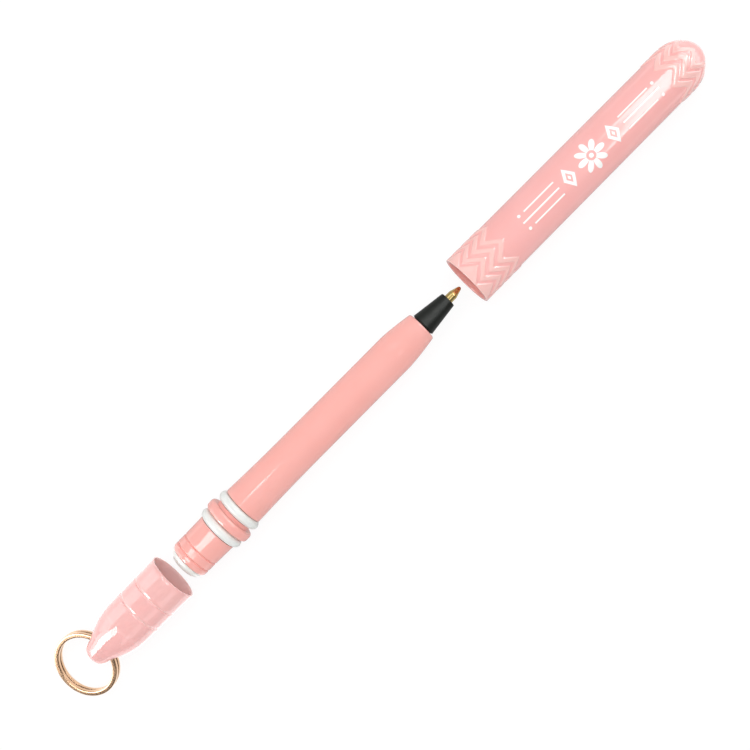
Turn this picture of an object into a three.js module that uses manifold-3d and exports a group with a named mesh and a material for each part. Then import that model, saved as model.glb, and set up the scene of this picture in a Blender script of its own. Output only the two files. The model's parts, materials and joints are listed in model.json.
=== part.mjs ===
// A pocket pen laid out on a table in its three parts: the cap pulled off the writing end, the
// barrel with its refill, and the key cap with its split ring pulled off the rear end.
// Sizes are in millimetres, +Z is up, and the pen's axis runs along X with the point towards +X.
// Stations along the pen are measured ahead of the collar's front face.

import * as THREE from 'three';
import { mergeVertices } from 'three/addons/utils/BufferGeometryUtils.js';
import Module from 'manifold-3d';

const wasm = await Module();
wasm.setup();

// Facets
const ZIGZAGS = 7; // zigzags round the cap
const SIDES = ZIGZAGS * 4; // sides of the large round pieces
const SMALL_SIDES = 14; // sides of the small round pieces
const CURVE_STEPS = 4; // along a short curve of a turned piece's outline
const OGIVE_STEPS = 8;
const NOSE_TIP_STEPS = 5;
const BALL_RINGS = 8;

// Clearances
const SLIDE_GAP = 0.05; // between a seal ring and the cap that slides over it
const FIT_GAP = 0.05; // between a piece and the bore or groove that holds it
const SEAT_GAP = 0.3; // between end faces that meet

// Barrel
const NOSE_END = 55.3;
const NOSE_LENGTH = 8.2;
const NOSE_END_RADIUS = 3.45;
const NOSE_ROUND = 0.45;
const NOSE_EASE = 1.5; // how late the nose's taper sets in
const GRIP_RADIUS = 4.28;
const GRIP_START = 20; // where the shoulder has eased into the grip
const SHOULDER_RADIUS = 4.6;
const SHOULDER_EASE = 2;
const COLLAR_WIDTH = 2.15;
const COLLAR_LIP = 0.2; // how far the collar stands out past the caps' bores
const COLLAR_ROUND = 0.8;
const NECK_LENGTH = 0.75; // between the collar and the front ring groove
const NECK_RADIUS = 4.1;
const SPIGOT_LENGTH = 10.8;
const SPIGOT_ROOT_RADIUS = 4.5;
const SPIGOT_RADIUS = 4.4;
const SPIGOT_END_RADIUS = 4.0;
const SPIGOT_ROUND = 0.7;
const SPIGOT_LINES = [7.25, 9.3]; // ring lines, measured back from the collar
const BORE_RADIUS = 2.4;

// Seal rings
const CORD_DIAMETER = 2.1;
const GROOVE_SPARE = 0.15; // how much wider a ring's groove is than its cord
const FRONT_GROOVE_RADIUS = 3.05;
const REAR_GROOVE_RADIUS = 3.1;
const CORD_SIDES = 10;

// End plug
const PLUG_HEAD = 1.6;
const PLUG_FLAT_RADIUS = 2.1;
const PLUG_STEM = 4.5;

// Refill
const CONE_LENGTH = 7.4;
const CONE_BASE_RADIUS = 2.68;
const CONE_FRONT_RADIUS = 1.72;
const CONE_NECK = 5.2;
const CONE_EDGE = 0.14;
const TUBE_RADIUS = 1.6;
const TUBE_BORE = 1.15;
const TUBE_SEAT = 1.4; // how far past the cone's base the tube reaches
const INK_LENGTH = 44;
const STEM_LENGTH = 3.4;
const SHANK_RADIUS = 1.0;
const SHANK_OUT = 1.4; // straight shank ahead of the cone
const POINT_TAPER = 1.85;
const INK_CHANNEL = 0.4;
const BALL_CHANNEL = 0.2;
const BALL_CHANNEL_LENGTH = 0.7;
const CHANNEL_FLARE = 0.35; // from the ball's channel out to the ink's
const SOCKET_DEPTH = 0.25; // straight wall behind the ball's middle
const BALL_RADIUS = 0.35;
const BALL_GAP = 0.025;
const LIP_REACH = 0.15; // the lip's end, ahead of the ball's middle
const LIP_WALL = 0.055;

// Cap
const CAP_TRAVEL = 68.4; // pulled this far off the collar
const TIP_ROOM = 0.3; // between the ball and the closed end
const CAP_END_WALL = 1.0;
const CAP_MOUTH_WALL = 0.54;
const CAP_FAR_RADIUS = 5.58;
const CAP_DOME = 7.2;
const CAP_FAR_WALL = 0.75;
const CAP_SEAT = 5; // straight bore at the mouth
const RIB_HEIGHT = 0.16;
const RIB_WIDTH = 1.4;
const RIB_PITCH = 2.55;
const RIB_BEVEL = 0.4;
const RIB_COUNT = 3;
const ZIGZAG_HEIGHT = 2.65;
const MOUTH_BAND = 0.1; // narrowest flat top of the raised band at the mouth
const END_RIBS_LEAD = 0.1; // end ribs start this far before the dome

// Key cap
const KEY_CAP_TRAVEL = 15.3; // pulled this far off the collar
const KEY_CAP_LENGTH = 23.75;
const KEY_CAP_WALL = 0.25;
const KEY_CAP_WAIST_RADIUS = 5.4;
const KEY_SEAT = 4.4;
const KEY_END_ROOM = 1.9; // between the end plug and the cavity's end
const KEY_CAVITY_RADIUS = 4.75;
const KEY_CAVITY_CHAMFER = 1;
const OGIVE_LENGTH = 10.75;
const OGIVE_WAIST_HOLD = 0.33; // share of the ogive over which its curve keeps to the waist
const OGIVE_BELLY = 0.56; // share of the ogive at which its curve starts to lean to the tip
const OGIVE_FALL = 0.55; // share of the whole fall in radius by then
const NOSE_TIP_LENGTH = 2.15;
const NOSE_TIP_RADIUS = 3.05;
const NOSE_TIP_FULLNESS = 0.65;
const KEY_LINES = [5.5, 9.8]; // fine grooves, measured back from the mouth
const LINE_WIDTH = 0.5;
const LINE_DEPTH = 0.15;
const HOLE_FROM_TIP = 3.4; // the cross hole's axis, from the key cap's tip
const HOLE_SIDES = 20;

// Split ring
const RING_OUTER_RADIUS = 7.25;
const WIRE_WIDTH = 1.05;
const WIRE_THICKNESS = 0.85;
const COIL_GAP = 0.1;
const WIRE_BEVEL = 0.28;
const WIRE_START = 15; // in degrees round the ring, so that the crossover lies inside the hole
const CROSSOVER_DEGREES = 30; // over which the wire steps from one turn to the next
const RING_STEPS = 60;
const RING_CLEARANCE = 0.1; // between the ring and the wall of its hole

// Sizes that follow from the ones above
const frontRingRadius = FRONT_GROOVE_RADIUS + FIT_GAP + CORD_DIAMETER;
const rearRingRadius = REAR_GROOVE_RADIUS + FIT_GAP + CORD_DIAMETER;
const capBore = frontRingRadius + SLIDE_GAP;
const keyCapBore = rearRingRadius + SLIDE_GAP;
const collarRadius = Math.max(capBore, keyCapBore) + COLLAR_LIP;
const grooveWidth = CORD_DIAMETER + GROOVE_SPARE;
const spigotEnd = -COLLAR_WIDTH - SPIGOT_LENGTH;
const coneBase = NOSE_END + SEAT_GAP;
const coneFront = coneBase + CONE_LENGTH;
const ballMiddle = coneFront + SHANK_OUT + POINT_TAPER;
const tipReach = ballMiddle + BALL_RADIUS;
const tubeFront = coneBase + TUBE_SEAT;
const tubeRear = spigotEnd + PLUG_STEM + SEAT_GAP;
const stemRear = tubeFront - STEM_LENGTH;
const capMouthRadius = capBore + CAP_MOUTH_WALL;
const capLength = tipReach + TIP_ROOM + CAP_END_WALL;
const axisHeight = (capMouthRadius + RIB_HEIGHT) * Math.cos(Math.PI / SIDES);
const keyCapMouthRadius = keyCapBore + KEY_CAP_WALL;
const keyCapMouth = -COLLAR_WIDTH - KEY_CAP_TRAVEL;
const keyCavity = SPIGOT_LENGTH + FIT_GAP + PLUG_HEAD + KEY_END_ROOM;
const holeFromMouth = KEY_CAP_LENGTH - HOLE_FROM_TIP;
const ringInnerRadius = RING_OUTER_RADIUS - WIRE_WIDTH;
const ringThickness = 2 * WIRE_THICKNESS + COIL_GAP;

const fractions = (count) => Array.from({ length: count + 1 }, (_, i) => i / count);
const mix = (a, b, share) => a + (b - a) * share;

// Turns [station, radius] points about the X axis. Outer walls run towards +X. The sides are
// turned by half a side, so that each piece lies on a flat and not on a corner.
function turned(points, sides = SIDES) {
  const profile = points.map(([station, radius]) => new THREE.Vector2(radius, station));
  return new THREE.LatheGeometry(profile, sides, -Math.PI / sides).rotateZ(-Math.PI / 2);
}

const closed = (points) => [...points, points[0]];

// A quarter of an ellipse from the edge of an end face out to a wall
const rounding = (faceStation, faceRadius, wallStation, wallRadius) => fractions(CURVE_STEPS).map((share) => [
  mix(faceStation, wallStation, 1 - Math.cos((share * Math.PI) / 2)),
  mix(faceRadius, wallRadius, Math.sin((share * Math.PI) / 2)),
]);

// A fine V groove cut into an outer wall of the given radius
const line = (station, radius) => [
  [station - LINE_WIDTH / 2, radius],
  [station, radius - LINE_DEPTH],
  [station + LINE_WIDTH / 2, radius],
];

function solid(geometry) {
  const bare = geometry.clone().deleteAttribute('normal').deleteAttribute('uv');
  const merged = mergeVertices(bare, 1e-5);
  const corners = merged.index.array;
  const triangles = [];
  for (let i = 0; i < corners.length; i += 3) {
    const [a, b, c] = corners.slice(i, i + 3);
    if (a !== b && b !== c && c !== a) triangles.push(a, b, c);
  }
  return new wasm.Manifold(new wasm.Mesh({
    numProp: 3,
    vertProperties: merged.attributes.position.array,
    triVerts: new Uint32Array(triangles),
  }));
}

function geometryOf(manifold) {
  const mesh = manifold.getMesh();
  const geometry = new THREE.BufferGeometry();
  geometry.setAttribute('position', new THREE.BufferAttribute(mesh.vertProperties, 3));
  geometry.setIndex(new THREE.BufferAttribute(mesh.triVerts, 1));
  geometry.computeVertexNormals();
  return geometry;
}

function barrelGeometry() {
  const shoulder = fractions(CURVE_STEPS).map((share) => [
    mix(NECK_LENGTH + grooveWidth, GRIP_START, share),
    mix(GRIP_RADIUS, SHOULDER_RADIUS, (1 - share) ** SHOULDER_EASE),
  ]);
  const nose = fractions(CURVE_STEPS).map((share) => [
    mix(NOSE_END - NOSE_LENGTH, NOSE_END - NOSE_ROUND, share),
    mix(GRIP_RADIUS, NOSE_END_RADIUS, share ** NOSE_EASE),
  ]);
  const spigotLines = SPIGOT_LINES.map((back) => line(-COLLAR_WIDTH - back, SPIGOT_RADIUS)).reverse();
  return turned(closed([
    ...rounding(spigotEnd, SPIGOT_END_RADIUS, spigotEnd + SPIGOT_ROUND, SPIGOT_RADIUS),
    ...spigotLines.flat(),
    [-COLLAR_WIDTH - grooveWidth, SPIGOT_ROOT_RADIUS],
    [-COLLAR_WIDTH - grooveWidth, REAR_GROOVE_RADIUS],
    [-COLLAR_WIDTH, REAR_GROOVE_RADIUS],
    ...rounding(-COLLAR_WIDTH, collarRadius - COLLAR_ROUND, -COLLAR_WIDTH + COLLAR_ROUND, collarRadius),
    ...rounding(0, collarRadius - COLLAR_ROUND, -COLLAR_ROUND, collarRadius).reverse(),
    [0, NECK_RADIUS],
    [NECK_LENGTH, NECK_RADIUS],
    [NECK_LENGTH, FRONT_GROOVE_RADIUS],
    [NECK_LENGTH + grooveWidth, FRONT_GROOVE_RADIUS],
    [NECK_LENGTH + grooveWidth, SHOULDER_RADIUS],
    ...shoulder.slice(1),
    ...nose,
    ...rounding(NOSE_END, NOSE_END_RADIUS - NOSE_ROUND, NOSE_END - NOSE_ROUND, NOSE_END_RADIUS)
      .reverse().slice(1),
    [NOSE_END, BORE_RADIUS],
    [spigotEnd, BORE_RADIUS],
  ]));
}

// A seal ring of round cord, whose outer radius is given
function sealRingGeometry(outerRadius) {
  const cordRadius = CORD_DIAMETER / 2;
  return new THREE.TorusGeometry(outerRadius - cordRadius, cordRadius, CORD_SIDES, SIDES)
    .rotateZ(Math.PI / SIDES)
    .rotateY(Math.PI / 2);
}

function endPlugGeometry() {
  const rearFace = spigotEnd - FIT_GAP - PLUG_HEAD;
  return turned([
    [rearFace, 0],
    ...rounding(rearFace, PLUG_FLAT_RADIUS, rearFace + PLUG_HEAD, SPIGOT_END_RADIUS),
    [spigotEnd - FIT_GAP, BORE_RADIUS - FIT_GAP],
    [spigotEnd + PLUG_STEM, BORE_RADIUS - FIT_GAP],
    [spigotEnd + PLUG_STEM, 0],
  ]);
}

function noseConeGeometry() {
  const neckRadius = BORE_RADIUS - FIT_GAP;
  return turned(closed([
    [coneBase - CONE_NECK, neckRadius],
    [coneBase, neckRadius],
    [coneBase, CONE_BASE_RADIUS - CONE_EDGE],
    [coneBase + CONE_EDGE, CONE_BASE_RADIUS],
    [coneFront - CONE_EDGE, CONE_FRONT_RADIUS],
    [coneFront, CONE_FRONT_RADIUS - CONE_EDGE],
    [coneFront, SHANK_RADIUS + FIT_GAP],
    [tubeFront + FIT_GAP, SHANK_RADIUS + FIT_GAP],
    [tubeFront + FIT_GAP, TUBE_RADIUS + FIT_GAP],
    [coneBase - CONE_NECK, TUBE_RADIUS + FIT_GAP],
  ]));
}

function inkTubeGeometry() {
  return turned(closed([
    [tubeRear, TUBE_RADIUS],
    [tubeFront, TUBE_RADIUS],
    [tubeFront, TUBE_BORE],
    [tubeRear, TUBE_BORE],
  ]), SMALL_SIDES);
}

function inkGeometry() {
  const front = stemRear - SEAT_GAP;
  const radius = TUBE_BORE - FIT_GAP;
  return turned([[front - INK_LENGTH, 0], [front - INK_LENGTH, radius], [front, radius], [front, 0]],
    SMALL_SIDES);
}

function tipBodyGeometry() {
  const stemRadius = TUBE_BORE - FIT_GAP;
  const socket = BALL_RADIUS + BALL_GAP;
  const seat = ballMiddle - BALL_RADIUS - BALL_GAP;
  const lipEnd = ballMiddle + LIP_REACH;
  const lipRadius = Math.sqrt(BALL_RADIUS ** 2 - LIP_REACH ** 2) + BALL_GAP;
  return turned(closed([
    [stemRear, stemRadius],
    [tubeFront, stemRadius],
    [tubeFront, SHANK_RADIUS],
    [coneFront + SHANK_OUT, SHANK_RADIUS],
    [ballMiddle, socket + LIP_WALL],
    [lipEnd, lipRadius + LIP_WALL],
    [lipEnd, lipRadius],
    [ballMiddle, socket],
    [ballMiddle - SOCKET_DEPTH, socket],
    [seat, BALL_CHANNEL],
    [seat - BALL_CHANNEL_LENGTH, BALL_CHANNEL],
    [seat - BALL_CHANNEL_LENGTH - CHANNEL_FLARE, INK_CHANNEL],
    [stemRear, INK_CHANNEL],
  ]), SMALL_SIDES);
}

function writingBallGeometry() {
  return new THREE.SphereGeometry(BALL_RADIUS, SMALL_SIDES, BALL_RINGS).translate(ballMiddle, 0, 0);
}

// The cap's smooth outline at a distance from the mouth, measured along its surface, with the
// height of a rib added square to it
const capStraight = capLength - CAP_DOME;
const domeMean = 3 * (CAP_DOME + CAP_FAR_RADIUS)
  - Math.sqrt((3 * CAP_DOME + CAP_FAR_RADIUS) * (CAP_DOME + 3 * CAP_FAR_RADIUS));
const domeArc = (Math.PI / 4) * domeMean;

function capOutline(distance, height) {
  if (distance <= capStraight) {
    return [distance, mix(capMouthRadius, CAP_FAR_RADIUS, distance / capStraight) + height];
  }
  const turn = Math.min(1, (distance - capStraight) / domeArc) * (Math.PI / 2);
  const along = CAP_FAR_RADIUS * Math.sin(turn);
  const out = CAP_DOME * Math.cos(turn);
  const length = Math.hypot(along, out);
  return [
    capStraight + CAP_DOME * Math.sin(turn) + (height * along) / length,
    CAP_FAR_RADIUS * Math.cos(turn) + (height * out) / length,
  ];
}

// The outer wall from the mouth to the closed end, where the zigzag stands at a share of its height
function capWall(share) {
  const shifted = (distance, height) => {
    const [, radius] = capOutline(distance, 0);
    const rise = share * ZIGZAG_HEIGHT * (radius / capMouthRadius);
    return capOutline(distance + rise, height);
  };
  const rib = (start) => [
    shifted(start, 0),
    shifted(start + RIB_BEVEL, RIB_HEIGHT),
    shifted(start + RIB_WIDTH - RIB_BEVEL, RIB_HEIGHT),
    shifted(start + RIB_WIDTH, 0),
  ];
  const ribs = (first) => Array.from({ length: RIB_COUNT }, (_, i) => rib(first + i * RIB_PITCH)).flat();
  const endRibs = capStraight - END_RIBS_LEAD - ZIGZAG_HEIGHT;
  const lastRib = endRibs + (RIB_COUNT - 1) * RIB_PITCH + RIB_WIDTH + ZIGZAG_HEIGHT;
  const tip = fractions(CURVE_STEPS).slice(1)
    .map((part) => capOutline(mix(lastRib, capStraight + domeArc, part), 0));
  tip[tip.length - 1][1] = 0;
  return [
    [0, capMouthRadius + RIB_HEIGHT],
    shifted(MOUTH_BAND, RIB_HEIGHT),
    shifted(MOUTH_BAND + RIB_BEVEL, 0),
    ...ribs(MOUTH_BAND + RIB_BEVEL + RIB_PITCH - RIB_WIDTH),
    ...ribs(endRibs),
    ...tip,
  ];
}

function capInside() {
  const depth = capLength - CAP_END_WALL;
  const farRadius = CAP_FAR_RADIUS - CAP_FAR_WALL;
  const domeLength = CAP_DOME - CAP_END_WALL;
  const dome = fractions(CURVE_STEPS).map((part) => {
    const turn = (1 - part) * (Math.PI / 2);
    return [depth - domeLength + domeLength * Math.sin(turn), farRadius * Math.cos(turn)];
  });
  dome[0][1] = 0;
  return [...dome, [CAP_SEAT, capBore], [0, capBore]];
}

function capGeometry() {
  const profileAt = (share) => [...capInside(), ...capWall(share)];
  const geometry = turned(profileAt(0));
  const position = geometry.attributes.position;
  const count = profileAt(0).length;
  for (let side = 0; side <= SIDES; side++) {
    const angle = ((side - 0.5) / SIDES) * 2 * Math.PI;
    const swing = ((side / SIDES) * ZIGZAGS) % 1;
    const share = Math.abs(1 - 2 * swing);
    profileAt(share).forEach(([station, radius], i) => {
      position.setXYZ(side * count + i, station, -radius * Math.sin(angle), radius * Math.cos(angle));
    });
  }
  return geometry.translate(CAP_TRAVEL, 0, 0);
}

// The key cap's outer radius a distance back from the mouth, up to the nose tip
const keyWaist = KEY_CAP_LENGTH - OGIVE_LENGTH;
const keyCapOgive = new THREE.CubicBezierCurve(
  new THREE.Vector2(keyWaist, KEY_CAP_WAIST_RADIUS),
  new THREE.Vector2(keyWaist + OGIVE_LENGTH * OGIVE_WAIST_HOLD, KEY_CAP_WAIST_RADIUS),
  new THREE.Vector2(
    keyWaist + OGIVE_LENGTH * OGIVE_BELLY,
    mix(KEY_CAP_WAIST_RADIUS, NOSE_TIP_RADIUS, OGIVE_FALL),
  ),
  new THREE.Vector2(KEY_CAP_LENGTH - NOSE_TIP_LENGTH, NOSE_TIP_RADIUS),
);
const keyCapNose = new THREE.QuadraticBezierCurve(
  new THREE.Vector2(KEY_CAP_LENGTH - NOSE_TIP_LENGTH, NOSE_TIP_RADIUS),
  new THREE.Vector2(KEY_CAP_LENGTH, NOSE_TIP_RADIUS * NOSE_TIP_FULLNESS),
  new THREE.Vector2(KEY_CAP_LENGTH, 0),
);

const PROFILE_STEPS = 40; // finer than the facets, to find the radius at the hole
const keyCapProfile = [...keyCapOgive.getPoints(PROFILE_STEPS), ...keyCapNose.getPoints(PROFILE_STEPS)];
const radiusAtHole = keyCapProfile.find((point) => point.x >= holeFromMouth).y;

const ringEntry = Math.sqrt(ringInnerRadius ** 2 - radiusAtHole ** 2);
const ringReach = (RING_OUTER_RADIUS + ringEntry) / 2; // from the hole's axis to the ring's middle
const wireSpread = (RING_OUTER_RADIUS - ringEntry) / 2;
const holeRadius = Math.hypot(wireSpread, ringThickness / 2) + RING_CLEARANCE;
const ringFoot = ringReach + RING_OUTER_RADIUS - WIRE_BEVEL; // the edge that rests on the table
const ringSlope = Math.asin(axisHeight / Math.hypot(ringFoot, ringThickness / 2))
  - Math.atan2(ringThickness / 2, ringFoot);

function keyCapGeometry() {
  const back = (points) => points.map((point) => [-point.x, point.y]);
  const straightRadius = (mark) => mix(keyCapMouthRadius, KEY_CAP_WAIST_RADIUS, mark / keyWaist);
  const outer = [
    [0, keyCapMouthRadius],
    ...KEY_LINES.map((mark) => line(mark, straightRadius(mark))).flat(),
  ].map(([station, radius]) => [-station, radius]);
  const inside = [
    [0, keyCapBore],
    [-KEY_SEAT, keyCapBore],
    [-KEY_SEAT - KEY_CAVITY_CHAMFER, KEY_CAVITY_RADIUS],
    [-keyCavity + KEY_CAVITY_CHAMFER, KEY_CAVITY_RADIUS],
    [-keyCavity, KEY_CAVITY_RADIUS - KEY_CAVITY_CHAMFER],
    [-keyCavity, 0],
  ];
  const nose = back([
    ...keyCapOgive.getPoints(OGIVE_STEPS),
    ...keyCapNose.getPoints(NOSE_TIP_STEPS).slice(1),
  ]);
  nose[nose.length - 1][1] = 0;
  const body = turned([...nose.reverse(), ...outer.reverse(), ...inside]);
  const drill = new THREE.CylinderGeometry(holeRadius, holeRadius, 4 * KEY_CAP_WAIST_RADIUS, HOLE_SIDES)
    .translate(-holeFromMouth, 0, 0);
  return geometryOf(solid(body).subtract(solid(drill))).translate(keyCapMouth, 0, 0);
}

// The middle of the wire: one turn low, a short step up, and one turn high, less the step
class SplitRingPath extends THREE.Curve {
  getPoint(share, target = new THREE.Vector3()) {
    const degrees = share * (720 - CROSSOVER_DEGREES);
    const step = THREE.MathUtils.smoothstep(degrees, 360 - CROSSOVER_DEGREES, 360) - 0.5;
    const angle = THREE.MathUtils.degToRad(degrees + WIRE_START);
    const radius = RING_OUTER_RADIUS - WIRE_WIDTH / 2;
    return target.set(
      radius * Math.cos(angle),
      radius * Math.sin(angle),
      step * (WIRE_THICKNESS + COIL_GAP),
    );
  }
}

function splitRingGeometry() {
  const wide = WIRE_WIDTH / 2;
  const thick = WIRE_THICKNESS / 2;
  const section = new THREE.Shape([
    new THREE.Vector2(-thick + WIRE_BEVEL, -wide),
    new THREE.Vector2(thick - WIRE_BEVEL, -wide),
    new THREE.Vector2(thick, -wide + WIRE_BEVEL),
    new THREE.Vector2(thick, wide - WIRE_BEVEL),
    new THREE.Vector2(thick - WIRE_BEVEL, wide),
    new THREE.Vector2(-thick + WIRE_BEVEL, wide),
    new THREE.Vector2(-thick, wide - WIRE_BEVEL),
    new THREE.Vector2(-thick, -wide + WIRE_BEVEL),
  ]);
  return new THREE.ExtrudeGeometry(section, { steps: RING_STEPS, extrudePath: new SplitRingPath() });
}

function piece(name, geometry, color, roughness, metalness = 0) {
  const mesh = new THREE.Mesh(geometry, new THREE.MeshStandardMaterial({ color, roughness, metalness }));
  mesh.name = name;
  return mesh;
}

const PINK = 0xf4a9a2;
const PALE_PINK = 0xf8bcb7;
const SEAL_WHITE = 0xe9ece8;

const pen = new THREE.Group();

const writingEnd = new THREE.Group();
const frontRing = piece('front_seal_ring', sealRingGeometry(frontRingRadius), SEAL_WHITE, 0.5);
frontRing.position.x = NECK_LENGTH + grooveWidth / 2;
const rearRing = piece('rear_seal_ring', sealRingGeometry(rearRingRadius), SEAL_WHITE, 0.5);
rearRing.position.x = -COLLAR_WIDTH - grooveWidth / 2;
writingEnd.add(
  piece('barrel', barrelGeometry(), PINK, 0.3),
  frontRing,
  rearRing,
  piece('end_plug', endPlugGeometry(), 0xe8dad4, 0.4),
  piece('nose_cone', noseConeGeometry(), 0x24261f, 0.45),
  piece('tip_body', tipBodyGeometry(), 0xc6a259, 0.25, 1),
  piece('writing_ball', writingBallGeometry(), 0xd8d4cc, 0.15, 1),
  piece('ink_tube', inkTubeGeometry(), 0xe6e4de, 0.35),
  piece('ink', inkGeometry(), 0x14161c, 0.2),
);

const keyEnd = new THREE.Group();
const splitRing = piece('split_ring', splitRingGeometry(), 0xc99a62, 0.25, 1);
splitRing.position.x = -ringReach;
const ringHang = new THREE.Group();
ringHang.position.x = keyCapMouth - holeFromMouth;
ringHang.rotation.y = -ringSlope;
ringHang.add(splitRing);
keyEnd.add(piece('key_cap', keyCapGeometry(), PALE_PINK, 0.3), ringHang);

pen.add(writingEnd, piece('cap', capGeometry(), PINK, 0.3), keyEnd);

// The origin is under the middle of the whole layout, on the table
const box = new THREE.Box3().setFromObject(pen, true);
pen.position.set(-(box.min.x + box.max.x) / 2, 0, axisHeight);

export default pen;
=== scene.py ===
# The looks of a small capsule pen, laid out in its three parts: the long cap, the barrel with its
# refill, and the key cap with its split ring. Profiles are in millimetres, as stations along the
# pen ahead of the collar's front face and radii from its axis; Blender's own lengths are metres.

import json
import math

import bmesh
import bpy
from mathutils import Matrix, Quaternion, Vector


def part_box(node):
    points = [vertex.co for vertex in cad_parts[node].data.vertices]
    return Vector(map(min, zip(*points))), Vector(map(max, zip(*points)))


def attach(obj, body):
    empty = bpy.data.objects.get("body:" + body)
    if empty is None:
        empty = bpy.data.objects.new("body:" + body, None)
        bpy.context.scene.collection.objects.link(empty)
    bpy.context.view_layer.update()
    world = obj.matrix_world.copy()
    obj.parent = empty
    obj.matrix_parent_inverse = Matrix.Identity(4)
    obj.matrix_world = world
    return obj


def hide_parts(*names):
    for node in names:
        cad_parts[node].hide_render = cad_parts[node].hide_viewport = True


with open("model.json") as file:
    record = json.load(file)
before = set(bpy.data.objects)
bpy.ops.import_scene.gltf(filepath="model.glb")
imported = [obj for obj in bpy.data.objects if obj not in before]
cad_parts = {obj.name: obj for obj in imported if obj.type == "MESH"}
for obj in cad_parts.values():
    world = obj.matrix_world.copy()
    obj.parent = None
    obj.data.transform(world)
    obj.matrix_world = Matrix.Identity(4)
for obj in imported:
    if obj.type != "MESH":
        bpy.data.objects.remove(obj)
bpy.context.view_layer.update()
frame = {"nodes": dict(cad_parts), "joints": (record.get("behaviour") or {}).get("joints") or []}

MM = 0.001
TURN = math.tau

# Barrel, in mm
NOSE_END = 55.3
NOSE_LENGTH = 8.2
NOSE_END_RADIUS = 3.45
NOSE_ROUND = 0.45
NOSE_EASE = 1.5
GRIP_RADIUS = 4.28
GRIP_START = 20
SHOULDER_RADIUS = 4.6
COLLAR_WIDTH = 2.15
COLLAR_RADIUS = 5.5
COLLAR_ROUND = 0.8
NECK_LENGTH = 0.75
NECK_RADIUS = 4.1
GROOVE_WIDTH = 2.25
FRONT_GROOVE_RADIUS = 3.05
REAR_GROOVE_RADIUS = 3.1
GROOVE_FLOOR_ROUND = 0.15
GROOVE_LIP_ROUND = 0.12
SHOULDER_ROUND = 0.25
SPIGOT_END = -12.95
SPIGOT_ROOT_RADIUS = 4.5
SPIGOT_RADIUS = 4.4
SPIGOT_END_RADIUS = 4.0
SPIGOT_ROUND = 0.7
SPIGOT_LINES = (-11.45, -9.4)
BORE_RADIUS = 2.4

# Seal rings, in mm, with the flash line's reach as an angle round the cord in radians
CORD_RADIUS = 1.05
FRONT_RING_RADIUS = 5.2
REAR_RING_RADIUS = 5.25
FLASH_HEIGHT = 0.015
FLASH_TURN = 0.10

# End plug, in mm
PLUG_FACE = -14.6
PLUG_FLAT_RADIUS = 2.1
PLUG_STEM_END = -8.45

# Refill, in mm
CONE_BASE = 55.6
CONE_FRONT = 63.0
CONE_BASE_RADIUS = 2.68
CONE_FRONT_RADIUS = 1.72
CONE_NECK = 5.2
CONE_BASE_ROUND = 0.16
CONE_FRONT_ROUND = 0.2
CONE_BORE_ROUND = 0.05
TUBE_FRONT = 57.0
TUBE_RADIUS = 1.6
TIP_STEM_REAR = 53.6
TIP_STEM_RADIUS = 1.1
SHANK_RADIUS = 1.0
SHANK_END = 64.4
STEM_REAR_ROUND = 0.08
STEM_FRONT_ROUND = 0.05
TAPER_ROUND = 0.12
BALL_MIDDLE = 66.25
BALL_RADIUS = 0.35
BALL_GAP = 0.025
SOCKET_DEPTH = 0.25
LIP_REACH = 0.15
LIP_WALL = 0.055
LIP_BASE_ROUND = 0.05
LIP_ROUND = 0.02
LIP_INNER_ROUND = 0.01
BALL_CHANNEL = 0.2
BALL_CHANNEL_LENGTH = 0.7
CHANNEL_FLARE = 0.35
INK_CHANNEL = 0.4
FIT_GAP = 0.05

# Cap, in mm
CAP_MOUTH = 68.4
CAP_LENGTH = 67.9
CAP_DOME = 7.2
CAP_MOUTH_RADIUS = 5.75
CAP_FAR_RADIUS = 5.55
CAP_BORE = 5.25
CAP_SEAT = 5.0
CAP_END_WALL = 1.0
CAP_FAR_WALL = 0.75
CAP_EDGE_ROUND = 0.07
CAP_BORE_CHAMFER = 0.12
RIB_HEIGHT = 0.16
RIB_WIDTH = 2.0
RIB_PITCH = 2.55
RIB_COUNT = 3
MOUTH_RIB_BEVEL = 0.6
END_RIB_BEVEL = 0.35
MOUTH_BAND = 0.1
FIRST_RIB = 1.05
END_RIBS_LEAD = 1.9
ZIGZAGS = 7
ZIGZAG_TURN = TURN / (8 * ZIGZAGS)
ZIGZAG_HEIGHT = 2.65
ZIGZAG_SHARPNESS = 0.985

# Key cap, in mm, measured back from its mouth, with the nose's bends as shares of its lengths
KEY_CAP_MOUTH = -17.45
KEY_CAP_LENGTH = 23.75
KEY_CAP_MOUTH_RADIUS = 5.55
KEY_CAP_BORE = 5.3
KEY_CAP_WAIST_RADIUS = 5.4
KEY_CAP_EDGE = 0.06
KEY_SEAT = 4.4
KEY_SEAT_SLOPE = 1
KEY_SEAT_ROUND = 0.4
KEY_CAVITY = 14.35
KEY_CAVITY_RADIUS = 4.75
KEY_CAVITY_ROUND = 1.0
OGIVE_LENGTH = 10.75
WAIST_HOLD = 0.33
BELLY_SHARE = 0.56
BELLY_FALL = 0.55
NOSE_TIP_LENGTH = 2.15
NOSE_TIP_RADIUS = 3.05
NOSE_TIP_LEAD = 0.5
NOSE_TIP_BLUNTNESS = 2.3
KEY_LINES = (5.5, 9.8)
HOLE_FROM_MOUTH = 20.35
HOLE_FLARE = 0.3
FLARE_DEGREES = 70
DRILL_LEAD = 1.2
DRILL_WIDENING = 0.55

# Split ring, in mm
RING_RADIUS = 7.25
WIRE_WIDTH = 1.05
WIRE_THICKNESS = 0.85
COIL_GAP = 0.1
WIRE_ROUND = 0.28
WIRE_START = 15
CROSSOVER_DEGREES = 30
RING_CLEARANCE = 0.1

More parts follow.
